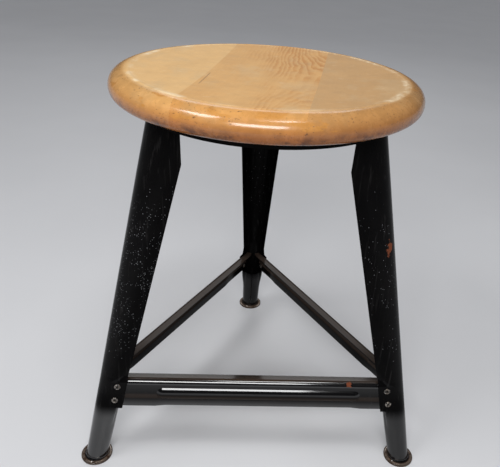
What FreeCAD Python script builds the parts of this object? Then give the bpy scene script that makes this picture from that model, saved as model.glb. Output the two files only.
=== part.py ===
import FreeCAD, Part
import math
import os

# Workshop stool with a round, dished wooden seat on three pressed-steel legs.
# Sizes are in millimetres. +Z is up, the floor is z = 0 and the front looks along -Y.
# One leg stands at the back, two at the front, and three rails tie them together.

# Wooden seat
seat_height = 476.0            # floor to the crest round the sitting face
seat_radius = 175.0
seat_thickness = 30.0
crest_inset = 21.0             # seat's edge to the circle of the crest
crest_width = 5.0              # rounded top of the crest, measured across
crest_drop = 0.5               # from the crest to where its rounding ends
dish_depth = 4.5               # how far the middle of the sitting face lies below the crest
edge_round = 20.0              # radius of the edge's shoulder, which runs into a tighter side
seam_angle = 10.5              # degrees between the glued seams and the front-to-back line
seam_left = -65.0              # seam offsets from the seat's centre
seam_right = 58.0

# Pressed ring under the seat
ring_sheet = 1.5
ring_inset = 30.0              # seat's edge to the outside of the down-turned skirt
ring_width = 55.0              # skirt to the hole in the middle
ring_skirt = 11.0              # skirt depth, sheet included
ring_lip = 6.0                 # lip round the hole, sheet included
ring_bend = 3.0                # outside radius of both bends

# Legs, each one blank of sheet, closed to a tube below and open inwards above
leg_sheet = 1.5
back_angle = 90.0              # direction of the back leg, in degrees from +X
between_angle = 120.0          # degrees from one leg to the next
foot_reach = 241.2             # stool's axis to the outside of the leg at the floor
nose_clearance = 0.3           # between the leg and the ring's skirt
foot_tube_radius = 13.5
foot_flange_radius = 19.1
flare_radius = 4.0             # fillet between tube and foot flange
neck_radius = 15.0             # leg radius where the rails are riveted
neck_flat = 7.5                # flats of the tube just under the ears
neck_corner = 5.5              # tight corners of the tube just under the ears
round_height = 44.0            # height at which the tube has become round
round_radius = 14.3
seam_gap = 0.7                 # butt seam along the inside of the tube
ear_length = 19.5              # flat of the ear, from the nose to its edge
ear_below = 2.8                # ear below the rail
ear_taper_drop = 3.0           # the ear begins to narrow this far below the top of the rail
channel_start = 22.0           # from the ear's upper edge to the plain channel
shoulder_rise = 7.0            # from the ear's upper edge to the hollow shoulder above it
shoulder_radius = 16.0
shoulder_angle = 78.0          # half of the angle that the nose wraps there, in degrees
shoulder_flange = 13.5
start_radius = 17.0
start_flange = 11.1
channel_wrap_angle = 90.0      # half of the angle that the nose wraps, in degrees
corner_drop = 52.5             # length of the cut-back corners below the ring
corner_radius = 29.8           # nose radius where the corners begin
corner_flange = 2.6
top_radius = 32.6
top_wrap_angle = 62.4
top_flange = 1.5
lug_depth = 18.0               # in-turned lug on top of the leg

# Rails, pressed angle section with a raised bead
rail_sheet = 1.5
rail_underside = 85.8
rail_height = 37.4             # along the web
rail_flange = 13.8             # top flange, sheet included
rail_bend = 7.0                # outside radius between web and flange
lip_length = 11.0              # curled part along the lower edge of the web
lip_angle = 18.0               # degrees
flat_end = 51.8                # flat at each end, before the lip starts to curl
curl_run = 12.0                # length over which the lip curls up
end_inset = 1.6                # rail end to the middle of the leg, along the rail
mitre_gap = 3.0                # flange ends to the middle plane of the leg
bead_width = 15.5
bead_height = 3.0
bead_drop = 19.0               # top of the rail to the middle of the bead
press_shift = 6.5              # bead and lip sit this far to the right of the middle
bead_inset = 50.5              # end of the bead to the middle of the leg

# Hollow rivets
rivet_shank_radius = 2.4
rivet_bore_radius = 1.5
rivet_head_radius = 3.8
rivet_head_height = 1.3
rivet_tail_radius = 3.2
rivet_tail_height = 1.2
rivet_bevel = 0.3              # bevels of the rolled edges
rivet_fit = 0.1                # hole radius less shank radius
rivet_inset = 8.8              # along the ear, from the nose
rivet_low = 8.8                # lower rivet above the rail's lower edge
rivet_pitch = 19.2
top_rivet_inset = 11.0         # from the outside of the leg
top_rivet_spread = 9.5         # either side of the leg's middle plane

# Wood screws that hold the ring to the seat
screw_inset = 33.0             # from the outside of the ring
screw_half_angle = 17.0        # degrees either side of the middle between two legs
screw_radius = 2.2
screw_length = 19.0
screw_head_radius = 4.6
screw_head_height = 2.4
screw_slot_width = 1.0
screw_slot_depth = 1.1
screw_fit = 0.15
pocket_gap = 0.8               # room in the wood round a rivet head

# Places worked out from the sizes above
leg_angles = {"back": back_angle, "front_left": back_angle + between_angle,
              "front_right": back_angle - between_angle}
bay_angles = {"front": back_angle + 180, "back_right": back_angle + between_angle + 180,
              "back_left": back_angle - between_angle + 180}
crest_radius = seat_radius - crest_inset
ring_radius = seat_radius - ring_inset
ring_hole_radius = ring_radius - ring_width
screw_circle = ring_radius - screw_inset
seat_underside = seat_height - seat_thickness
ring_underside = seat_underside - ring_sheet
skirt_edge = seat_underside - ring_skirt
splay = (foot_reach - (ring_radius - ring_sheet - nose_clearance)) / skirt_edge
rail_tilt = math.degrees(math.atan(splay / 2))
rail_top = rail_underside + rail_height * math.cos(math.radians(rail_tilt))
ear_bottom = rail_underside - ear_below
ear_top = rail_top - ear_taper_drop
channel_bottom = ear_top + channel_start
corner_start = ring_underside - corner_drop
ear_wrap_angle = between_angle / 2   # between a leg's middle and the face of each rail
box_shift = (seat_radius - (foot_reach - foot_tube_radius + foot_flange_radius)) / 2

Z = FreeCAD.Vector(0, 0, 1)


def point(x, y, z):
    return FreeCAD.Vector(x, y, z)


def line(a, b):
    return Part.LineSegment(a, b).toShape()


def arc(a, b, c):
    return Part.Arc(a, b, c).toShape()


def revolved(outline):
    """Turn a closed outline of (radius, height) edges about the Z axis."""
    return Part.Face(Part.Wire(outline)).revolve(point(0, 0, 0), Z, 360)


def place(shape, angle):
    """Turn a piece about the stool's axis, then centre the stool's box on the origin."""
    placed = shape.copy()
    placed.rotate(point(0, 0, 0), Z, angle)
    placed.translate(point(0, box_shift, 0))
    return placed


def save(name, *solids):
    shape = solids[0] if len(solids) == 1 else Part.makeCompound(list(solids))
    if not shape.isValid():
        raise ValueError("invalid shape: " + name)
    shape.exportStep("parts/" + name + ".step")
    print(name, len(shape.Solids), "solid(s)", round(shape.Volume / 1000, 2), "cm3")


def nose_line(z):
    """Distance from the stool's axis to the outside of a leg."""
    return foot_reach - splay * z


# Seat

def seat_blank():
    """The whole turned seat, before it is parted along its glued seams."""
    turn = math.sqrt(0.5)
    half_crest = crest_width / 2
    shoulder = seat_height - crest_drop
    crest_in = point(crest_radius - half_crest, 0, shoulder)
    crest_out = point(crest_radius + half_crest, 0, shoulder)
    centre = point(0, 0, seat_height - dish_depth)

    dish_rise = crest_in.z - centre.z
    dish_round = (crest_in.x ** 2 + dish_rise ** 2) / (2 * dish_rise)
    dish_mid = crest_in.x / 2
    dish_mid_z = centre.z + dish_round - math.sqrt(dish_round ** 2 - dish_mid ** 2)

    side_run = seat_radius - crest_out.x - edge_round * turn
    side_round = side_run / (1 - turn)
    knee = point(crest_out.x + edge_round * turn, 0, shoulder - edge_round * (1 - turn))
    side = point(seat_radius, 0, knee.z - side_round * turn)
    under_round = side.z - seat_underside
    foot = point(seat_radius - under_round, 0, seat_underside)

    def bend(hub_x, hub_z, radius, degrees):
        angle = math.radians(degrees)
        return point(hub_x + radius * math.cos(angle), 0, hub_z + radius * math.sin(angle))

    edge_mid = bend(crest_out.x, shoulder - edge_round, edge_round, 67.5)
    side_mid = bend(seat_radius - side_round, side.z, side_round, 22.5)
    under_mid = bend(foot.x, side.z, under_round, -45.0)
    return revolved([arc(centre, point(dish_mid, 0, dish_mid_z), crest_in),
                     arc(crest_in, point(crest_radius, 0, seat_height), crest_out),
                     arc(crest_out, edge_mid, knee),
                     arc(knee, side_mid, side),
                     arc(side, under_mid, foot),
                     line(foot, point(0, 0, seat_underside)),
                     line(point(0, 0, seat_underside), centre)])


def board_zone(low, high):
    """The slab of space between two seams, both measured from the seat's centre."""
    slab = Part.makeBox(high - low, 4 * seat_radius, 2 * seat_thickness,
                        point(low, -2 * seat_radius, seat_underside - seat_thickness / 2))
    slab.rotate(point(0, 0, 0), Z, -seam_angle)
    return slab


def screw_spots():
    """Angle and place of each wood screw, by the side of the stool it is on."""
    spots = {}
    for side, middle in bay_angles.items():
        angles = [math.radians(middle + turn) for turn in (-screw_half_angle, screw_half_angle)]
        spots[side] = [point(screw_circle * math.cos(a), screw_circle * math.sin(a), 0) for a in angles]
    return spots


def top_rivet_spots(angle):
    """Places of the two rivets that hold the top of one leg to the ring."""
    spots = []
    for side in (-1, 1):
        spot = point(nose_line(ring_underside) - top_rivet_inset, side * top_rivet_spread, 0)
        spots.append(FreeCAD.Rotation(Z, angle).multVec(spot))
    return spots


def make_boards():
    seat = seat_blank()
    hole = Part.makeCylinder(screw_radius + screw_fit, screw_length + screw_fit)
    for spots in screw_spots().values():
        for spot in spots:
            seat = seat.cut(hole.translated(point(spot.x, spot.y, ring_underside)))
    pocket = Part.makeCylinder(rivet_head_radius + pocket_gap, rivet_head_height + pocket_gap)
    for angle in leg_angles.values():
        for spot in top_rivet_spots(angle):
            seat = seat.cut(pocket.translated(point(spot.x, spot.y, seat_underside)))
    reach = 2 * seat_radius
    zones = {"left": (-reach, seam_left), "middle": (seam_left, seam_right), "right": (seam_right, reach)}
    for name, (low, high) in zones.items():
        save("seat_board_" + name, place(seat.common(board_zone(low, high)), 0))


# Ring

def make_ring():
    """Flat ring with a skirt outside and a shallow lip round its hole."""
    top = seat_underside
    under = ring_underside
    outer, inner = ring_radius, ring_hole_radius
    bend, sheet = ring_bend, ring_sheet
    core = bend - sheet
    turn = math.sqrt(0.5)
    lip_edge = top - ring_lip

    def corner(centre_r, centre_z, radius, side, start, end):
        middle = point(centre_r + side * radius * turn, 0, centre_z + radius * turn)
        return arc(start, middle, end)

    mid_z = top - bend
    outline = [
        line(point(inner + bend, 0, top), point(outer - bend, 0, top)),
        corner(outer - bend, mid_z, bend, 1, point(outer - bend, 0, top), point(outer, 0, mid_z)),
        line(point(outer, 0, mid_z), point(outer, 0, skirt_edge)),
        line(point(outer, 0, skirt_edge), point(outer - sheet, 0, skirt_edge)),
        line(point(outer - sheet, 0, skirt_edge), point(outer - sheet, 0, mid_z)),
        corner(outer - bend, mid_z, core, 1, point(outer - sheet, 0, mid_z), point(outer - bend, 0, under)),
        line(point(outer - bend, 0, under), point(inner + bend, 0, under)),
        corner(inner + bend, mid_z, core, -1, point(inner + bend, 0, under), point(inner + sheet, 0, mid_z)),
        line(point(inner + sheet, 0, mid_z), point(inner + sheet, 0, lip_edge)),
        line(point(inner + sheet, 0, lip_edge), point(inner, 0, lip_edge)),
        line(point(inner, 0, lip_edge), point(inner, 0, mid_z)),
        corner(inner + bend, mid_z, bend, -1, point(inner, 0, mid_z), point(inner + bend, 0, top)),
    ]
    ring = revolved(outline)
    through = 3 * ring_sheet
    rivet_hole = Part.makeCylinder(rivet_shank_radius + rivet_fit, through)
    for angle in leg_angles.values():
        for spot in top_rivet_spots(angle):
            ring = ring.cut(rivet_hole.translated(point(spot.x, spot.y, under - ring_sheet)))
    screw_hole = Part.makeCylinder(screw_radius + screw_fit, through)
    for spots in screw_spots().values():
        for spot in spots:
            ring = ring.cut(screw_hole.translated(point(spot.x, spot.y, under - ring_sheet)))
    save("seat_ring", place(ring, 0))


# Legs, drawn along +X and turned to their places

def channel_section(z, radius, wrap, flange):
    """Closed outline of the open sheet section: flange, nose and flange, all one sheet thick."""
    centre = nose_line(z) - radius
    turn = math.radians(wrap)
    inside = radius - leg_sheet

    def at(size, along, side):
        x = centre + size * math.cos(turn) - along * math.sin(turn)
        y = side * (size * math.sin(turn) + along * math.cos(turn))
        return point(x, y, z)

    edges = [line(at(radius, flange, -1), at(radius, 0, -1)),
             arc(at(radius, 0, -1), point(centre + radius, 0, z), at(radius, 0, 1)),
             line(at(radius, 0, 1), at(radius, flange, 1)),
             line(at(radius, flange, 1), at(inside, flange, 1)),
             line(at(inside, flange, 1), at(inside, 0, 1)),
             arc(at(inside, 0, 1), point(centre + inside, 0, z), at(inside, 0, -1)),
             line(at(inside, 0, -1), at(inside, flange, -1)),
             line(at(inside, flange, -1), at(radius, flange, -1))]
    return Part.Wire(edges)


def neck_points(inset):
    """Start, middle and end of each stretch of the tube's outline just under the ears."""
    turn = math.radians(ear_wrap_angle)
    nose = neck_radius - inset
    corner = neck_corner - inset

    def flat_point(along):
        return (nose * math.cos(turn) - along * math.sin(turn), nose * math.sin(turn) + along * math.cos(turn))

    end_x, end_y = flat_point(neck_flat)
    hub_x = end_x - corner * math.cos(turn)
    hub_y = end_y - corner * math.sin(turn)
    corner_mid = (hub_x + corner * math.cos(2 * turn), hub_y + corner * math.sin(2 * turn))
    back = (hub_x - corner, hub_y)
    bulge = (-(round_radius - inset), 0.0)
    upper = [flat_point(0), flat_point(neck_flat / 2), (end_x, end_y), corner_mid, back]
    lower = [(x, -y) for x, y in reversed(upper)]
    nose_mid = (nose, 0.0)
    return lower + [nose_mid] + upper + [bulge]


def tube_wire(z, blend, inset):
    """Outline of the closed tube, from the shape under the ears (blend 0) to round (blend 1)."""
    shaped = neck_points(inset)
    ease = blend * blend * (3 - 2 * blend)
    radius = neck_radius + (round_radius - neck_radius) * ease
    centre = nose_line(z) - radius
    points = []
    for x, y in shaped:
        away = math.hypot(x, y)
        size = away + (radius - inset - away) * ease
        points.append(point(centre + x / away * size, y / away * size, z))
    return ring_wire(points)


def ring_wire(points):
    """Closed wire of arcs and lines, each through three neighbouring points."""
    edges = []
    for i in range(0, len(points), 2):
        start, middle, end = points[i], points[i + 1], points[(i + 2) % len(points)]
        bow = (middle - start).cross(end - start).Length
        edges.append(arc(start, middle, end) if bow > 0.001 else line(start, end))
    return Part.Wire(edges)


def round_wire(z, radius, inset):
    centre = nose_line(z) - foot_tube_radius
    return Part.Wire([Part.makeCircle(radius - inset, point(centre, 0, z), Z)])


def flare_wires(lift, inset):
    """Circles of the foot: a fillet from the tube to the flange, for one side of the sheet."""
    steps = 6
    bend = flare_radius + inset
    wires = []
    for i in range(steps + 1):
        turn = math.radians(90.0 * i / steps)
        z = lift + bend * (1 - math.cos(turn))
        radius = foot_tube_radius - inset + bend * (1 - math.sin(turn))
        wires.append(round_wire(z, radius, 0))
    return wires


def make_tube():
    """Closed lower part of the leg, with its shaped neck and its flared foot."""
    steps = 4
    heights = [ear_bottom + (round_height - ear_bottom) * i / steps for i in range(steps + 1)]
    sides = []
    for inset in (0, leg_sheet):
        neck = [tube_wire(z, i / steps, inset) for i, z in enumerate(heights)]
        neck_solid = Part.makeLoft(neck, True, True)
        flare = flare_wires(leg_sheet if inset == 0 else 0.0, inset)
        tube_end = round_wire_at(round_height, round_radius - inset)
        shank = Part.makeLoft([flare[-1], tube_end], True, True)
        foot = Part.makeLoft(flare, True, True)
        sides.append(neck_solid.fuse([shank, foot]))
    centre = nose_line(0) - foot_tube_radius
    flange = Part.makeCylinder(foot_flange_radius, leg_sheet, point(centre, 0, 0))
    outer, inner = sides
    return outer.fuse(flange).cut(inner).removeSplitter()


def round_wire_at(z, radius):
    """Circle on the leg's outer line, where the tube is already round."""
    outside = round_radius if z >= round_height else foot_tube_radius
    return Part.Wire([Part.makeCircle(radius, point(nose_line(z) - outside, 0, z), Z)])


def make_channel():
    """Open upper part of the leg, from the ears to the ring."""
    sections = [(ear_bottom, neck_radius, ear_wrap_angle, ear_length),
                (ear_top, neck_radius, ear_wrap_angle, ear_length),
                (ear_top + shoulder_rise, shoulder_radius, shoulder_angle, shoulder_flange),
                (channel_bottom, start_radius, channel_wrap_angle, start_flange),
                (corner_start, corner_radius, channel_wrap_angle, corner_flange),
                (ring_underside, top_radius, top_wrap_angle, top_flange)]
    return Part.makeLoft([channel_section(*section) for section in sections], True, True)


def make_lug():
    """In-turned lug that closes the top of the leg and lies against the ring."""
    centre = nose_line(ring_underside) - top_radius
    inside = top_radius - leg_sheet / 2
    base = ring_underside - leg_sheet
    disc = Part.makeCylinder(inside, leg_sheet, point(centre, 0, base))
    keep = Part.makeBox(lug_depth, 4 * top_radius, leg_sheet,
                        point(nose_line(ring_underside) - lug_depth, -2 * top_radius, base))
    return disc.common(keep)


def ear_point(z, along, side, outward=0.0):
    """A point on the outer face of an ear, in the frame of a leg drawn along +X."""
    turn = math.radians(ear_wrap_angle)
    size = neck_radius + outward
    x = nose_line(z) - neck_radius + size * math.cos(turn) - along * math.sin(turn)
    y = side * (size * math.sin(turn) + along * math.cos(turn))
    return point(x, y, z)


def ear_normal(side):
    turn = math.radians(ear_wrap_angle)
    normal = point(math.cos(turn), side * math.sin(turn), splay / 2)
    return normal.normalize()


def rivet_heights():
    low = rail_underside + rivet_low
    return low, low + rivet_pitch


def make_leg():
    leg = make_tube().fuse([make_channel(), make_lug()])
    for side in (-1, 1):
        for z in rivet_heights():
            start = ear_point(z, rivet_inset, side) + ear_normal(side) * rivet_head_height
            hole = Part.makeCylinder(rivet_shank_radius + rivet_fit, 3 * leg_sheet + rivet_head_height,
                                     start, ear_normal(side) * -1)
            leg = leg.cut(hole)
    top_hole = Part.makeCylinder(rivet_shank_radius + rivet_fit, 3 * leg_sheet)
    for spot in top_rivet_spots(0):
        leg = leg.cut(top_hole.translated(point(spot.x, spot.y, ring_underside - 2 * leg_sheet)))
    seam_start = leg_sheet + 2 * flare_radius
    seam = Part.makeBox(2 * foot_tube_radius, seam_gap, ear_bottom - seam_start,
                        point(-2 * foot_tube_radius, -seam_gap / 2, seam_start))
    lean = FreeCAD.Matrix()
    lean.A13 = -splay
    lean.A14 = foot_reach - foot_tube_radius
    return leg.cut(seam.transformGeometry(lean)).removeSplitter()


# Rails, drawn with their web on the YZ plane, facing +X, then tilted and turned to their places

def rail_section(y, curl):
    """Closed outline of the angle section at one place along the rail."""
    sheet = rail_sheet
    bend = rail_bend
    angle = math.radians(curl)
    radius = lip_length / angle
    core = bend - sheet
    turn = math.sqrt(0.5)
    hub = point(-bend, y, rail_height - bend)

    def lip(size, share):
        part = angle * share
        return point(-radius + size * math.cos(part), y, lip_length - size * math.sin(part))

    def bend_point(size):
        return point(hub.x + size * turn, y, hub.z + size * turn)

    outer, inner = radius, radius - sheet
    edges = [arc(lip(outer, 1), lip(outer, 0.5), lip(outer, 0)),
             line(lip(outer, 0), point(0, y, hub.z)),
             arc(point(0, y, hub.z), bend_point(bend), point(hub.x, y, rail_height)),
             line(point(hub.x, y, rail_height), point(-rail_flange, y, rail_height)),
             line(point(-rail_flange, y, rail_height), point(-rail_flange, y, rail_height - sheet)),
             line(point(-rail_flange, y, rail_height - sheet), point(hub.x, y, rail_height - sheet)),
             arc(point(hub.x, y, rail_height - sheet), bend_point(core), point(-sheet, y, hub.z)),
             line(point(-sheet, y, hub.z), lip(inner, 0)),
             arc(lip(inner, 0), lip(inner, 0.5), lip(inner, 1)),
             line(lip(inner, 1), lip(outer, 1))]
    return Part.Wire(edges)


def bead_body(radius, half_length, sink):
    """Round-ended bar along the rail, sunk behind the face of the web."""
    middle = rail_height - bead_drop
    start = point(-sink, press_shift - half_length, middle)
    bar = Part.makeCylinder(radius, 2 * half_length, start, point(0, 1, 0))
    for end in (-half_length, half_length):
        bar = bar.fuse(Part.makeSphere(radius, point(-sink, press_shift + end, middle)))
    return bar


def leg_offset(height):
    """Half the distance between two legs' middles, at a height along the web above its lower edge."""
    z = rail_underside + height * math.cos(math.radians(rail_tilt))
    return (nose_line(z) - neck_radius) * math.sin(math.radians(ear_wrap_angle))


def to_rail_place(shape):
    """Lean the rail in line with the ears, and seat its web on their inner faces."""
    face = (nose_line(rail_underside) - neck_radius) * math.cos(math.radians(ear_wrap_angle)) + neck_radius
    moved = shape.copy()
    moved.rotate(point(0, 0, 0), point(0, 1, 0), -rail_tilt)
    moved.translate(point(face - leg_sheet, 0, rail_underside))
    return moved


def make_rail():
    flat = lip_angle / 20
    reach = leg_offset(0)
    flat_from = reach - flat_end
    curl_to = flat_from - curl_run
    stations = [(-reach, flat), (press_shift - flat_from, flat), (press_shift - curl_to, lip_angle),
                (press_shift + curl_to, lip_angle), (press_shift + flat_from, flat), (reach, flat)]
    rail = Part.makeLoft([rail_section(y, curl) for y, curl in stations], True, True)

    half_width = bead_width / 2
    bead_radius = (half_width ** 2 + bead_height ** 2) / (2 * bead_height)
    sink = bead_radius - bead_height
    bead_end = leg_offset(rail_height - bead_drop) - bead_inset - half_width
    front = Part.makeBox(bead_radius, 2 * reach, rail_height, point(-rail_sheet, -reach, 0))
    rail = rail.fuse(bead_body(bead_radius, bead_end, sink).common(front))
    rail = rail.cut(bead_body(bead_radius - rail_sheet, bead_end, sink))

    low, high = -rail_sheet, rail_height + rail_sheet
    ends = [(-leg_offset(low) + end_inset, low), (leg_offset(low) - end_inset, low),
            (leg_offset(high) - end_inset, high), (-leg_offset(high) + end_inset, high)]
    corners = [point(-2 * rail_flange, y, z) for y, z in ends]
    outline = Part.Face(Part.makePolygon(corners + corners[:1]))
    rail = rail.common(outline.extrude(point(3 * rail_flange, 0, 0)))

    rail = to_rail_place(rail).common(bay_wedge())
    for side in (-1, 1):
        for z in rivet_heights():
            rail = rail.cut(rail_rivet_hole(z, side))
    return rail.removeSplitter()


def bay_wedge():
    """The space between the middle planes of two neighbouring legs."""
    turn = math.radians(ear_wrap_angle)
    apex = point(mitre_gap / math.sin(turn), 0, 0)
    far = 2 * foot_reach
    left = apex + point(far * math.cos(turn), far * math.sin(turn), 0)
    right = apex + point(far * math.cos(turn), -far * math.sin(turn), 0)
    return Part.Face(Part.makePolygon([apex, right, left, apex])).extrude(Z * seat_height)


def joint_axis(z, side):
    """Outer face point and outward normal of one rivet, in the frame of a rail facing +X."""
    turn = FreeCAD.Rotation(Z, side * ear_wrap_angle)
    spot = turn.multVec(ear_point(z, rivet_inset, -side))
    return spot, turn.multVec(ear_normal(-side))


def rail_rivet_hole(z, side):
    spot, normal = joint_axis(z, side)
    return Part.makeCylinder(rivet_shank_radius + rivet_fit, 3 * (leg_sheet + rail_sheet),
                             spot + normal * leg_sheet, normal * -1)


# Fasteners

def make_rivet(grip):
    """Hollow rivet with its head above z = 0 and its rolled tail below the grip."""
    bore, shank = rivet_bore_radius, rivet_shank_radius
    head, tail = rivet_head_radius, rivet_tail_radius
    top = rivet_head_height
    tail_z = -grip - rivet_tail_height
    bevel = rivet_bevel
    corners = [(shank, 0), (head, 0), (head, top - 2 * bevel), (head - 2 * bevel, top),
               (bore + bevel, top), (bore, top - bevel),
               (bore, tail_z + bevel), (bore + bevel, tail_z), (tail - bevel, tail_z), (tail, tail_z + bevel),
               (tail, -grip), (shank, -grip)]
    points = [point(r, 0, z) for r, z in corners]
    return revolved([line(a, b) for a, b in zip(points, points[1:] + points[:1])])


def stand(shape, spot, direction):
    """Move a piece drawn along +Z to a point and a direction."""
    stood = shape.copy()
    stood.Placement = FreeCAD.Placement(spot, FreeCAD.Rotation(Z, direction))
    return stood


def make_screw():
    """Slotted round-head wood screw, driven upwards, with its head below z = 0."""
    tip = screw_length - 2 * screw_radius
    dome = (screw_head_radius ** 2 + screw_head_height ** 2) / (2 * screw_head_height)
    turn = math.asin(screw_head_radius / dome) / 2
    crown = arc(point(screw_head_radius, 0, 0),
                point(dome * math.sin(turn), 0, dome * (1 - math.cos(turn)) - screw_head_height),
                point(0, 0, -screw_head_height))
    body = revolved([crown,
                     line(point(0, 0, -screw_head_height), point(0, 0, screw_length)),
                     line(point(0, 0, screw_length), point(screw_radius, 0, tip)),
                     line(point(screw_radius, 0, tip), point(screw_radius, 0, 0)),
                     line(point(screw_radius, 0, 0), point(screw_head_radius, 0, 0))])
    slot = Part.makeBox(4 * screw_head_radius, screw_slot_width, 2 * screw_slot_depth,
                        point(-2 * screw_head_radius, -screw_slot_width / 2, -screw_head_height - screw_slot_depth))
    return body.cut(slot)


def make_fasteners():
    grip = leg_sheet * math.cos(math.radians(rail_tilt)) + rail_sheet
    side_rivet = make_rivet(grip)
    for leg, leg_angle in leg_angles.items():
        for side, word in ((-1, "right"), (1, "left")):
            pair = []
            for z in rivet_heights():
                placed = stand(side_rivet, ear_point(z, rivet_inset, side), ear_normal(side))
                pair.append(place(placed, leg_angle))
            save("rivets_" + leg + "_leg_" + word, *pair)
    top_rivet = make_rivet(ring_sheet + leg_sheet)
    for leg, leg_angle in leg_angles.items():
        pair = [place(stand(top_rivet, spot + Z * seat_underside, Z), 0) for spot in top_rivet_spots(leg_angle)]
        save("rivets_" + leg + "_leg_top", *pair)
    screw = make_screw()
    for side, spots in screw_spots().items():
        pair = [place(screw.translated(spot + Z * ring_underside), 0) for spot in spots]
        save("seat_screws_" + side, *pair)


def main():
    os.makedirs("parts", exist_ok=True)
    make_boards()
    make_ring()
    leg = make_leg()
    for name, angle in leg_angles.items():
        save("leg_" + name, place(leg, angle))
    rail = make_rail()
    for name, angle in bay_angles.items():
        save("rail_" + name, place(rail, angle))
    make_fasteners()


main()
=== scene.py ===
import bpy
import math
from mathutils import Matrix, Vector


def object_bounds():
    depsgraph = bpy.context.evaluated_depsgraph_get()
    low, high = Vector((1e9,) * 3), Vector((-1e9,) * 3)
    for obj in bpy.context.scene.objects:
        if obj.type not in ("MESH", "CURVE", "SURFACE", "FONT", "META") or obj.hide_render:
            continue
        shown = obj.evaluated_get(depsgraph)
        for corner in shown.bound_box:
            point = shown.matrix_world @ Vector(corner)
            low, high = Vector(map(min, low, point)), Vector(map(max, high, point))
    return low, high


# Workshop stool: looks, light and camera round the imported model. Sizes are in metres.

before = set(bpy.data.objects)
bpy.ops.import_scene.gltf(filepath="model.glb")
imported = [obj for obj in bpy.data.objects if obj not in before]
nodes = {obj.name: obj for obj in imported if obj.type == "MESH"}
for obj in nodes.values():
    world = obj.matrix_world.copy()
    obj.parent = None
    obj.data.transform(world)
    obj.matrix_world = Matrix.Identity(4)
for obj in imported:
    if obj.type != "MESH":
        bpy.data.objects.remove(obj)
cad_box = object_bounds()

# Places on the seat
seat_centre = (0.0, -0.0359, 0.0)
seat_top = cad_box[1][2]
crest_radius = 0.154
edge_blend = 0.008
seam_turn = math.radians(10.5)
crack_middle = (-0.0690, -0.0751, 0.4728)
crack_turn = math.radians(8.8)

# Places on the legs and rails
foot_circle = 0.2277
foot_bore = 0.0140
foot_rim = 0.0186
rail_underside = 0.0858
rail_flank_low = 0.0955
rail_flank_high = 0.1010
rail_top = 0.1230
leg_chip_middle = (0.1440, -0.1300, 0.3065)
leg_chip_size = (0.0040, 0.0055, 0.0090)
rail_chip_middle = (0.1160, -0.1470, 0.1200)
rail_chip_size = (0.0034, 0.0040, 0.0030)

# Colours of the seat's wear, and of the painted shade low on its edge
worn_wood = (0.50, 0.37, 0.21, 1.0)
edge_tint = (0.97, 0.84, 0.68, 1.0)
# Painted shade on the lower part of the edge, with the varnish's deeper orange
low_edge_shade_tint = (0.66, 0.46, 0.35, 1.0)
thick_varnish = (0.50, 0.225, 0.050, 1.0)
rubbed_crest = (0.76, 0.66, 0.47, 1.0)
dark_stain = (0.085, 0.028, 0.012, 1.0)
dark_pit = (0.055, 0.022, 0.010, 1.0)
pale_scuff = (0.78, 0.66, 0.46, 1.0)
dark_scuff = (0.30, 0.17, 0.07, 1.0)
crack_brown = (0.20, 0.11, 0.05, 1.0)

# Colours of the enamel and of what shows on it
deep_enamel = (0.0010, 0.0010, 0.0013, 1.0)
greyed_enamel = (0.0040, 0.0037, 0.0036, 1.0)
rubbed_enamel = (0.022, 0.021, 0.021, 1.0)
# Brown of the dust on the rail tops, also painted there and on the bead's lower flank as a reflection
brown_dust_and_reflection = (0.040, 0.029, 0.023, 1.0)
grey_primer = (0.14, 0.143, 0.15, 1.0)
red_primer = (0.150, 0.045, 0.022, 1.0)
foot_brown = (0.050, 0.030, 0.020, 1.0)
worn_foot = (0.24, 0.19, 0.155, 1.0)
enamel_on_steel = (0.006, 0.006, 0.007, 1.0)

# Each board's two tones of wood, pith line and its bow, rings per metre, strength of figure and noise shift
boards = {
    "left": {"Light": (0.66, 0.420, 0.180, 1.0), "Dark": (0.55, 0.305, 0.100, 1.0),
             "Pith": (-0.40, 0.0, 0.10), "Bend": 1.0, "Rings": 260.0, "Figure": 0.07, "Seed": 3.0},
    "middle": {"Light": (0.61, 0.365, 0.140, 1.0), "Dark": (0.46, 0.200, 0.045, 1.0),
               "Pith": (0.060, 0.0, 0.437), "Bend": -1.10, "Rings": 215.0, "Figure": 0.60, "Seed": 7.0},
    "right": {"Light": (0.50, 0.300, 0.125, 1.0), "Dark": (0.41, 0.220, 0.080, 1.0),
              "Pith": (0.45, 0.0, 0.15), "Bend": 1.0, "Rings": 260.0, "Figure": 0.07, "Seed": 11.0},
}

# The three legs: direction from the seat's axis in degrees, amount of small chips, gloss near the floor
legs = {
    "leg_front_left": (210.0, 0.95, 0.80),
    "leg_front_right": (330.0, 0.32, 0.45),
    "leg_back": (90.0, 0.10, 0.20),
}


# Small helpers for building node trees

def plug(tree, made, inputs):
    """Give each named input of a node a value or a link."""
    for key, value in inputs.items():
        if isinstance(value, bpy.types.NodeSocket):
            tree.links.new(value, made.inputs[key])
        else:
            made.inputs[key].default_value = value


def add(tree, kind, inputs=None, **settings):
    made = tree.nodes.new("ShaderNode" + kind)
    for key, value in settings.items():
        setattr(made, key, value)
    plug(tree, made, inputs or {})
    return made


def math_node(tree, operation, *values, clamp=False):
    made = add(tree, "Math", dict(enumerate(values)), operation=operation, use_clamp=clamp)
    return made.outputs[0]


def vector_node(tree, operation, *values):
    made = add(tree, "VectorMath", dict(enumerate(values)), operation=operation)
    return made.outputs[1] if operation == "LENGTH" else made.outputs[0]


def product(tree, first, *others):
    """Product of two or more values."""
    for other in others:
        first = math_node(tree, "MULTIPLY", first, other)
    return first


def scaled(tree, value, factor, offset):
    """A value times a factor, plus an offset."""
    return math_node(tree, "MULTIPLY_ADD", value, factor, offset)


def ramp(tree, value, low, high):
    """Smooth step of a value from 0 at low to 1 at high."""
    made = add(tree, "MapRange", {0: value, 1: low, 2: high, 3: 0.0, 4: 1.0}, interpolation_type="SMOOTHSTEP")
    return made.outputs[0]


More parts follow.
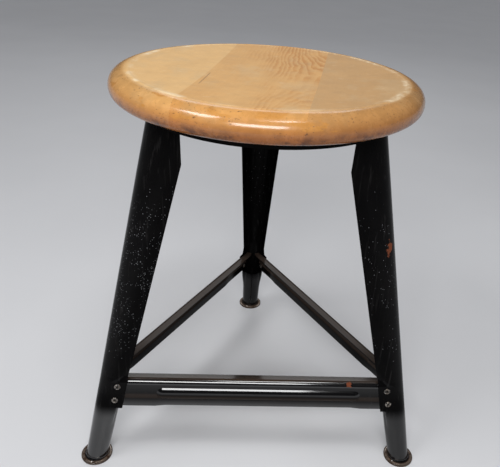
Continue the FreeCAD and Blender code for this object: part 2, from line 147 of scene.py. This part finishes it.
def band(tree, value, rise, fall):
    """1 between two smooth steps, each given by where it is 0 and where it is 1."""
    return product(tree, ramp(tree, value, *rise), ramp(tree, value, *fall))


def mix_colors(tree, factor, first, second, blend="MIX"):
    made = add(tree, "Mix", data_type="RGBA", blend_type=blend)
    plug(tree, made, {0: factor, 6: first, 7: second})
    return made.outputs[2]


def noise(tree, vector, scale, detail=3.0, roughness=0.5):
    made = add(tree, "TexNoise", {"Vector": vector, "Scale": scale, "Detail": detail, "Roughness": roughness})
    return made.outputs[0]


def stretched(tree, vector, x, y, z):
    return vector_node(tree, "MULTIPLY", vector, (x, y, z))


def split(tree, vector):
    """The X, Y and Z of a vector."""
    return add(tree, "SeparateXYZ", {0: vector}).outputs


def turned_about_z(tree, vector, angle):
    return add(tree, "VectorRotate", {"Vector": vector, "Angle": angle}, rotation_type="Z_AXIS").outputs[0]


def new_group(name, inputs, outputs):
    """An empty node group with the given sockets, its tree and the sockets inside it."""
    tree = bpy.data.node_groups.new(name, "ShaderNodeTree")
    kinds = {"value": "NodeSocketFloat", "color": "NodeSocketColor", "vector": "NodeSocketVector"}
    for in_out, sockets in (("INPUT", inputs), ("OUTPUT", outputs)):
        for label, kind in sockets:
            tree.interface.new_socket(name=label, in_out=in_out, socket_type=kinds[kind])
    start = tree.nodes.new("NodeGroupInput")
    end = tree.nodes.new("NodeGroupOutput")
    return tree, start.outputs, end.inputs


def use_group(tree, group, inputs):
    made = tree.nodes.new("ShaderNodeGroup")
    made.node_tree = group
    plug(tree, made, inputs)
    return made


def new_material(name):
    material = bpy.data.materials.new(name)
    material.use_nodes = True
    tree = material.node_tree
    return material, tree, tree.nodes["Principled BSDF"]


def feed_shader(tree, shader, group, bump_strength, bump_distance):
    """Link a group's outputs to the shader's sockets, its height through a bump."""
    sockets = {"Color": "Base Color", "Roughness": "Roughness", "Metallic": "Metallic", "Coat": "Coat Weight"}
    for output, socket in sockets.items():
        if output in group.outputs:
            tree.links.new(group.outputs[output], shader.inputs[socket])
    height = {"Height": group.outputs["Height"], "Strength": bump_strength, "Distance": bump_distance}
    tree.links.new(add(tree, "Bump", height).outputs[0], shader.inputs["Normal"])


def give(material, *names):
    for name in names:
        nodes[name].data.materials.clear()
        nodes[name].data.materials.append(material)


# Wood of the seat

def ring_distance(tree, turned, given):
    """Distance from a bowed pith line that runs along the board."""
    from_pith = split(tree, vector_node(tree, "SUBTRACT", turned, given["Pith"]))
    bow = math_node(tree, "POWER", from_pith[1], 2.0)
    rise = math_node(tree, "MULTIPLY_ADD", bow, given["Bend"], from_pith[2])
    across = math_node(tree, "POWER", from_pith[0], 2.0)
    upward = math_node(tree, "POWER", rise, 2.0)
    return math_node(tree, "SQRT", math_node(tree, "ADD", across, upward))


def board_color(tree, turned, edge, fibre, seeded, given):
    """Growth rings, fibres and soft clouds between the board's light and dark wood."""
    distance = ring_distance(tree, turned, given)
    sway = noise(tree, stretched(tree, seeded, 30.0, 11.0, 30.0), 1.0, 4.0, 0.6)
    wander = scaled(tree, sway, 0.020, distance)
    year = math_node(tree, "FRACT", product(tree, wander, given["Rings"]))
    late_wood = band(tree, year, (0.15, 0.80), (1.0, 0.86))
    cloud = noise(tree, stretched(tree, seeded, 18.0, 7.0, 18.0), 1.0, 4.0, 0.55)
    flame = ramp(tree, cloud, 0.36, 0.60)
    figure = product(tree, given["Figure"], scaled(tree, edge, -0.85, 1.0), ramp(tree, distance, 0.125, 0.060))
    rings = product(tree, late_wood, flame, figure)
    rings_and_fibres = math_node(tree, "ADD", rings, scaled(tree, fibre, 0.34, -0.17))
    shade = math_node(tree, "ADD", rings_and_fibres, product(tree, cloud, 0.55), clamp=True)
    color = mix_colors(tree, shade, given["Light"], given["Dark"])
    worn = ramp(tree, noise(tree, stretched(tree, seeded, 24.0, 15.0, 24.0), 1.0, 4.0, 0.6), 0.50, 0.66)
    return mix_colors(tree, product(tree, worn, 0.30), color, worn_wood)


def edge_color(tree, color, centred, height, edge, patchy):
    """The turned edge, darker and more orange the lower it lies (painted shade on its downward-turned part,
    with the varnish's deeper orange), with blotches of thick varnish.
    """
    color = mix_colors(tree, edge, color, edge_tint, "MULTIPLY")
    # Painted shade: the edge darkens the lower it lies, and turns more orange
    depth = ramp(tree, height, seat_top - 0.001, seat_top - 0.024)
    color = mix_colors(tree, product(tree, edge, depth), color, low_edge_shade_tint, "MULTIPLY")
    blots = ramp(tree, noise(tree, stretched(tree, centred, 1.0, 1.0, 2.5), 26.0, 3.0, 0.55), 0.555, 0.615)
    blots = product(tree, blots, edge, ramp(tree, height, seat_top - 0.020, seat_top - 0.010))
    color = mix_colors(tree, product(tree, blots, 0.80), color, thick_varnish)
    mottle = scaled(tree, patchy, 0.9, 0.55)
    grey = add(tree, "CombineColor", {0: mottle, 1: mottle, 2: mottle}).outputs[0]
    mottled = mix_colors(tree, 1.0, color, grey, "MULTIPLY")
    return mix_colors(tree, scaled(tree, edge, 0.40, 0.35), color, mottled)


def crest_rub(tree, centred, radius, patchy):
    """Mask of the rubbed line on the crest, broken, and stronger towards both sides of the seat."""
    near_crest = math_node(tree, "ABSOLUTE", math_node(tree, "SUBTRACT", radius, crest_radius - 0.001))
    sideways = ramp(tree, math_node(tree, "ABSOLUTE", split(tree, centred)[0]), 0.045, 0.125)
    breaks = ramp(tree, noise(tree, centred, 21.0, 5.0, 0.6), 0.40, 0.62)
    fray = product(tree, breaks, ramp(tree, patchy, 0.30, 0.62))
    line = product(tree, ramp(tree, near_crest, 0.0065, 0.0010), fray)
    return product(tree, line, scaled(tree, sideways, 0.70, 0.22))


def low_stain(tree, centred, height, edge):
    """Mask of the dark stain low on the edge."""
    low_edge = product(tree, ramp(tree, height, seat_top - 0.013, seat_top - 0.025), edge)
    stain = ramp(tree, noise(tree, centred, 46.0, 6.0, 0.7), 0.46, 0.62)
    return product(tree, low_edge, scaled(tree, stain, 0.68, 0.24))


def pit_mask(tree, centred, edge):
    """Mask of the small pits, which stand in clusters and mostly on the edge."""
    pits = ramp(tree, noise(tree, stretched(tree, centred, 1.0, 1.0, 1.6), 420.0, 4.0, 0.6), 0.61, 0.67)
    clusters = ramp(tree, noise(tree, centred, 30.0, 3.0), 0.42, 0.55)
    return product(tree, pits, clusters, scaled(tree, edge, 0.85, 0.15))


def scuffed(tree, color, centred, edge):
    """Fine pale and dark scuffs across the sitting face."""
    scuffs = noise(tree, stretched(tree, centred, 55.0, 420.0, 55.0), 1.0, 3.0, 0.7)
    face = math_node(tree, "SUBTRACT", 1.0, edge)
    pale = product(tree, ramp(tree, scuffs, 0.60, 0.74), product(tree, face, 0.35))
    dark = product(tree, ramp(tree, scuffs, 0.38, 0.26), product(tree, face, 0.30))
    color = mix_colors(tree, pale, color, pale_scuff)
    return mix_colors(tree, dark, color, dark_scuff)


def crack_mask(tree, place):
    """Mask of one short crack on the left of the sitting face, along the seam."""
    from_crack = vector_node(tree, "SUBTRACT", place, crack_middle)
    aside = split(tree, turned_about_z(tree, from_crack, crack_turn))
    thin = ramp(tree, math_node(tree, "ABSOLUTE", aside[0]), 0.0009, 0.0003)
    short = ramp(tree, math_node(tree, "ABSOLUTE", aside[1]), 0.031, 0.022)
    return product(tree, thin, short)


def wood_group():
    """Grain of one board, with the wear of the whole seat laid over it."""
    group, given, result = new_group(
        "board grain and wear",
        [("Light", "color"), ("Dark", "color"), ("Pith", "vector"), ("Bend", "value"), ("Rings", "value"),
         ("Figure", "value"), ("Seed", "value")],
        [("Color", "color"), ("Roughness", "value"), ("Coat", "value"), ("Height", "value")])
    place = add(group, "TexCoord").outputs["Object"]
    centred = vector_node(group, "SUBTRACT", place, seat_centre)
    turned = turned_about_z(group, centred, seam_turn)
    seeded = vector_node(group, "ADD", turned, add(group, "CombineXYZ", {"Y": given["Seed"]}).outputs[0])
    height = split(group, centred)[2]
    radius = vector_node(group, "LENGTH", stretched(group, centred, 1.0, 1.0, 0.0))
    edge = ramp(group, radius, crest_radius, crest_radius + edge_blend)
    fibre = noise(group, stretched(group, seeded, 900.0, 22.0, 900.0), 1.0, 3.0, 0.55)
    patchy = noise(group, centred, 60.0, 5.0, 0.65)

    color = board_color(group, turned, edge, fibre, seeded, given)
    color = edge_color(group, color, centred, height, edge, patchy)
    rubbed = crest_rub(group, centred, radius, patchy)
    color = mix_colors(group, rubbed, color, rubbed_crest)
    color = mix_colors(group, low_stain(group, centred, height, edge), color, dark_stain)
    pitted = pit_mask(group, centred, edge)
    color = mix_colors(group, product(group, pitted, 0.75), color, dark_pit)
    color = scuffed(group, color, centred, edge)
    crack = crack_mask(group, place)
    color = mix_colors(group, product(group, crack, 0.60), color, crack_brown)
    group.links.new(color, result["Color"])

    dull = scaled(group, edge, -0.25, 0.52)
    dull = math_node(group, "ADD", dull, product(group, rubbed, 0.15))
    dull = math_node(group, "ADD", dull, scaled(group, patchy, 0.20, -0.10))
    group.links.new(dull, result["Roughness"])

    # The varnish is whole on the edge, but for its lowest part, and thin on the sitting face
    outside = ramp(group, radius, crest_radius + 0.002, crest_radius + 0.009)
    glazed = product(group, outside, ramp(group, height, seat_top - 0.023, seat_top - 0.014))
    group.links.new(scaled(group, glazed, 0.90, 0.05), result["Coat"])

    sunk = math_node(group, "ADD", product(group, pitted, 2.0), crack)
    group.links.new(math_node(group, "SUBTRACT", product(group, fibre, 0.20), sunk), result["Height"])
    return group


def dress_seat():
    """Give each clear-varnished board its own colour and cut."""
    group = wood_group()
    for side, cut in boards.items():
        material, tree, shader = new_material("varnished board " + side)
        feed_shader(tree, shader, use_group(tree, group, cut), 0.30, 0.0003)
        shader.inputs["Coat Roughness"].default_value = 0.14
        shader.inputs["Specular IOR Level"].default_value = 0.30
        give(material, "seat_board_" + side)


# Enamelled steel of the ring, legs and rails

def chip_mask(tree, place, middle, size, ragged):
    """1 inside a ragged blob round a point, 0 outside."""
    apart = vector_node(tree, "MULTIPLY", vector_node(tree, "SUBTRACT", place, middle), [1 / s for s in size])
    away = vector_node(tree, "LENGTH", apart)
    return ramp(tree, scaled(tree, ragged, 4.0, away), 2.95, 2.80)


def speck_mask(tree, place, height, speckle):
    """Mask of the small round chips, most of them halfway up the leg."""
    cells = add(tree, "TexVoronoi", {"Vector": place, "Scale": 600.0})
    pick = add(tree, "SeparateColor", {0: cells.outputs["Color"]}).outputs
    dot_size = scaled(tree, pick[1], 0.24, 0.06)
    dots = ramp(tree, math_node(tree, "SUBTRACT", cells.outputs["Distance"], dot_size), 0.04, -0.04)
    zone = band(tree, height, (0.150, 0.200), (0.390, 0.280))
    crowd = ramp(tree, noise(tree, place, 45.0, 3.0), 0.30, 0.66)
    amount = product(tree, zone, crowd, speckle)
    return product(tree, dots, math_node(tree, "GREATER_THAN", amount, pick[0]))


def foot_masks(tree, place, height, foot, ragged):
    """Masks of the flared foot's flange and of the worn ring on it."""
    from_foot = stretched(tree, vector_node(tree, "SUBTRACT", place, foot), 1.0, 1.0, 0.0)
    reach = vector_node(tree, "LENGTH", from_foot)
    low = ramp(tree, height, 0.0050, 0.0030)
    flange = product(tree, low, ramp(tree, reach, foot_bore, foot_bore + 0.0015))
    ring = band(tree, reach, (foot_bore + 0.0012, foot_bore + 0.0022), (foot_rim, foot_rim - 0.0008))
    worn_ring = product(tree, ring, low, ramp(tree, ragged, 0.40, 0.52))
    return flange, worn_ring


def gloss(tree, normal, height, given, chips, dust_and_reflection):
    """Weight of the glossy coat: low down, and on faces that look up, but not on chips or under the dust and
    painted reflection on a rail's top.
    """
    below = math_node(tree, "SUBTRACT", given["Lower Edge"], height)
    near_floor = product(tree, ramp(tree, below, 0.0, 0.020), given["Lower Shine"])
    upward = ramp(tree, split(tree, normal)[2], 0.0, 0.30)
    upper = product(tree, ramp(tree, height, 0.0900, 0.1200), given["Upper Shine"],
                    scaled(tree, upward, 0.95, 0.05))
    bare = math_node(tree, "MAXIMUM", chips, product(tree, dust_and_reflection, 0.5), clamp=True)
    shine = math_node(tree, "MAXIMUM", near_floor, upper)
    return math_node(tree, "MULTIPLY", shine, math_node(tree, "SUBTRACT", 1.0, bare), clamp=True)


def enamel_group():
    """Black stove enamel with fine chips, long rubs, dust and painted brown reflection on the rails, and wear
    at the foot.
    """
    group, given, result = new_group(
        "worn black enamel",
        [("Speckle", "value"), ("Rub", "value"), ("Dust And Reflection", "value"), ("Upper Shine", "value"),
         ("Lower Shine", "value"), ("Lower Edge", "value"), ("Foot", "vector")],
        [("Color", "color"), ("Roughness", "value"), ("Metallic", "value"), ("Coat", "value"),
         ("Height", "value")])
    coordinates = add(group, "TexCoord").outputs
    place = coordinates["Object"]
    height = split(group, place)[2]
    cloud = noise(group, place, 34.0, 4.0, 0.6)
    ragged = noise(group, place, 230.0, 4.0, 0.65)

    # Upright rubs; dust on the top of a rail, browned there by a painted reflection; and painted brown
    # reflection on the lower flank of the bead
    long_rubs = noise(group, stretched(group, place, 280.0, 280.0, 10.0), 1.0, 3.0, 0.6)
    rubs = product(group, ramp(group, long_rubs, 0.56, 0.76), given["Rub"])
    # Dust on a rail's top, its brown partly a painted reflection of the seat's underside
    on_top = product(group, ramp(group, height, rail_top - 0.0022, rail_top - 0.0008), given["Dust And Reflection"])
    dust_and_reflection = math_node(group, "MULTIPLY", on_top, scaled(group, cloud, 0.9, 0.35), clamp=True)
    # Painted brown reflection on the bead's lower flank, in the dust's colour
    flank = band(group, height, (rail_flank_low, rail_flank_low + 0.003),
                 (rail_flank_high + 0.004, rail_flank_high))
    painted_flank_reflection = product(group, flank, given["Dust And Reflection"], 0.45)

    specks = speck_mask(group, place, height, given["Speckle"])
    flange, worn_ring = foot_masks(group, place, height, given["Foot"], ragged)
    leg_chip = chip_mask(group, place, leg_chip_middle, leg_chip_size, ragged)
    rail_chip = chip_mask(group, place, rail_chip_middle, rail_chip_size, ragged)
    chips = math_node(group, "MAXIMUM", leg_chip, rail_chip)

    color = mix_colors(group, cloud, deep_enamel, greyed_enamel)
    dust_and_painted_reflection = math_node(group, "MAXIMUM", dust_and_reflection, painted_flank_reflection)
    brown = product(group, flange, 0.85)
    layers = ((rubs, rubbed_enamel), (dust_and_painted_reflection, brown_dust_and_reflection), (specks, grey_primer), (brown, foot_brown),
              (worn_ring, worn_foot), (chips, red_primer))
    for mask, layer_color in layers:
        color = mix_colors(group, mask, color, layer_color)
    group.links.new(color, result["Color"])

    rough = scaled(group, cloud, 0.12, 0.07)
    for mask, more in ((rubs, 0.22), (dust_and_reflection, 0.22), (flange, 0.15), (chips, 0.35), (specks, 0.25)):
        rough = math_node(group, "MULTIPLY_ADD", mask, more, rough)
    group.links.new(rough, result["Roughness"])
    group.links.new(product(group, worn_ring, 0.7), result["Metallic"])
    group.links.new(gloss(group, coordinates["Normal"], height, given, chips, dust_and_reflection), result["Coat"])

    uneven = product(group, noise(group, place, 70.0, 2.0), 0.5)
    lost = math_node(group, "MAXIMUM", chips, product(group, specks, 0.7))
    group.links.new(math_node(group, "SUBTRACT", uneven, lost), result["Height"])
    return group


def enamel_material(name, group, speckle=0.0, rub=0.4, dust_and_reflection=0.0, upper_shine=0.1, lower_shine=0.0,
                    lower_edge=0.0, foot=(9.0, 9.0, 0.0)):
    """Enamel for one piece. A piece without a foot keeps the foot's place far away."""
    material, tree, shader = new_material(name)
    coat = use_group(tree, group, {"Speckle": speckle, "Rub": rub, "Dust And Reflection": dust_and_reflection, "Upper Shine": upper_shine,
                                   "Lower Shine": lower_shine, "Lower Edge": lower_edge, "Foot": foot})
    feed_shader(tree, shader, coat, 0.35, 0.0003)
    shader.inputs["Coat IOR"].default_value = 1.85
    shader.inputs["Coat Roughness"].default_value = 0.10
    shader.inputs["Specular IOR Level"].default_value = 0.02
    return material


def foot_place(degrees):
    angle = math.radians(degrees)
    return (foot_circle * math.cos(angle), foot_circle * math.sin(angle) + seat_centre[1], 0.0)


def dress_frame():
    group = enamel_group()
    give(enamel_material("enamel on ring", group, rub=0.2), "seat_ring")
    for name, (degrees, speckle, lower_shine) in legs.items():
        give(enamel_material("enamel on " + name, group, speckle=speckle, rub=0.50, lower_shine=lower_shine,
                             lower_edge=rail_underside, foot=foot_place(degrees)), name)
    # The rails' dust amount also sets the painted brown reflections on their tops and on the bead's lower
    # flank
    give(enamel_material("enamel on front rail", group, dust_and_reflection=1.0, upper_shine=1.0, lower_shine=1.00,
                         lower_edge=rail_flank_high), "rail_front")
    give(enamel_material("dusty enamel on back rails", group, dust_and_reflection=1.8, upper_shine=0.35, lower_shine=0.30,
                         lower_edge=rail_flank_high), "rail_back_left", "rail_back_right")


# Small steel

def fastener_group():
    """Plated steel, dull and darker in patches, with remains of black enamel."""
    group, given, result = new_group(
        "dull plated steel",
        [("Light", "color"), ("Dark", "color"), ("Enamel Left", "value")],
        [("Color", "color"), ("Roughness", "value"), ("Metallic", "value"), ("Height", "value")])
    place = add(group, "TexCoord").outputs["Object"]
    patches = noise(group, place, 300.0, 4.0, 0.6)
    color = mix_colors(group, ramp(group, patches, 0.40, 0.62), given["Light"], given["Dark"])
    limit = scaled(group, given["Enamel Left"], -0.30, 0.70)
    painted = ramp(group, math_node(group, "SUBTRACT", noise(group, place, 520.0, 2.0), limit), -0.02, 0.02)
    color = mix_colors(group, painted, color, enamel_on_steel)
    group.links.new(color, result["Color"])
    group.links.new(scaled(group, patches, 0.30, 0.25), result["Roughness"])
    group.links.new(scaled(group, painted, -0.85, 0.85), result["Metallic"])
    group.links.new(math_node(group, "ADD", patches, painted), result["Height"])
    return group


def dress_fasteners():
    """Rivets with enamel left on them, and bare screws."""
    group = fastener_group()
    kinds = (("rivet steel", "rivets_", (0.36, 0.33, 0.30, 1.0), (0.13, 0.11, 0.09, 1.0), 0.55),
             ("screw steel", "seat_screws_", (0.45, 0.43, 0.38, 1.0), (0.20, 0.17, 0.13, 1.0), 0.0))
    for label, start, light, dark, enamel_left in kinds:
        material, tree, shader = new_material(label)
        steel = use_group(tree, group, {"Light": light, "Dark": dark, "Enamel Left": enamel_left})
        feed_shader(tree, shader, steel, 0.3, 0.0002)
        give(material, *[name for name in nodes if name.startswith(start)])


# Floor, light and camera

def make_floor():
    mesh = bpy.data.meshes.new("floor")
    half = 25.0
    corners = [(-half, -half, 0), (half, -half, 0), (half, half, 0), (-half, half, 0)]
    mesh.from_pydata(corners, [], [(0, 1, 2, 3)])
    floor = bpy.data.objects.new("floor", mesh)
    bpy.context.scene.collection.objects.link(floor)
    material, tree, shader = new_material("pale floor")
    place = add(tree, "TexCoord").outputs["Object"]
    cloud = noise(tree, place, 3.0, 4.0)
    color = mix_colors(tree, cloud, (0.60, 0.605, 0.62, 1.0), (0.66, 0.665, 0.68, 1.0))
    tree.links.new(color, shader.inputs["Base Color"])
    shader.inputs["Roughness"].default_value = 0.45
    mesh.materials.append(material)


def make_lamp(name, place, target, width, depth, watts):
    lamp = bpy.data.lights.new(name, "AREA")
    lamp.shape = "RECTANGLE"
    lamp.size = width
    lamp.size_y = depth
    lamp.energy = watts
    made = bpy.data.objects.new(name, lamp)
    made.location = place
    made.rotation_euler = (Vector(target) - Vector(place)).to_track_quat("-Z", "Y").to_euler()
    bpy.context.scene.collection.objects.link(made)


def make_lamps():
    """Three soft windows that show in the seat's front edge, and one behind the stool."""
    front_edge = (0.0, -0.20, 0.47)
    middle = (0.0, 0.0, 0.25)
    make_lamp("front window", (-0.18, -1.53, 1.36), front_edge, 1.00, 0.50, 18.0)
    make_lamp("overhead window", (0.16, -0.62, 2.02), front_edge, 0.55, 0.30, 6.0)
    make_lamp("left window", (-0.94, -0.50, 1.74), front_edge, 0.60, 0.40, 8.0)
    make_lamp("back window", (0.05, 2.00, 1.78), middle, 1.40, 0.80, 6.0)


def make_world():
    """Even light, a dark room in reflections and a pale wall behind."""
    world = bpy.data.worlds.new("studio")
    bpy.context.scene.world = world
    world.use_nodes = True
    tree = world.node_tree
    rays = add(tree, "LightPath")
    color = mix_colors(tree, rays.outputs["Is Glossy Ray"], (0.47, 0.475, 0.49, 1.0), (0.04, 0.04, 0.045, 1.0))
    color = mix_colors(tree, rays.outputs["Is Camera Ray"], color, (0.80, 0.80, 0.81, 1.0))
    tree.links.new(color, tree.nodes["Background"].inputs["Color"])


def make_camera():
    """Camera at the photograph's viewing angle."""
    yaw, pitch, roll = 0.084, 0.464, 0.077
    ahead = Vector((math.sin(yaw) * math.cos(pitch), math.cos(yaw) * math.cos(pitch), -math.sin(pitch)))
    level = Vector((math.cos(yaw), -math.sin(yaw), 0.0))
    above = level.cross(ahead)
    right = math.cos(roll) * level + math.sin(roll) * above
    up = -math.sin(roll) * level + math.cos(roll) * above
    turn = Matrix((right, up, -ahead)).transposed()
    camera = bpy.data.cameras.new("camera")
    camera.sensor_width = 36.0
    camera.lens = 41.26
    camera.shift_x = -0.0617
    camera.shift_y = -0.0324
    made = bpy.data.objects.new("camera", camera)
    made.matrix_world = Matrix.Translation((-0.02879, -0.682454, 0.617126)) @ turn.to_4x4()
    bpy.context.scene.collection.objects.link(made)
    bpy.context.scene.camera = made


dress_seat()
dress_frame()
dress_fasteners()
make_floor()
make_lamps()
make_world()
make_camera()
bpy.context.scene.view_settings.view_transform = "Standard"
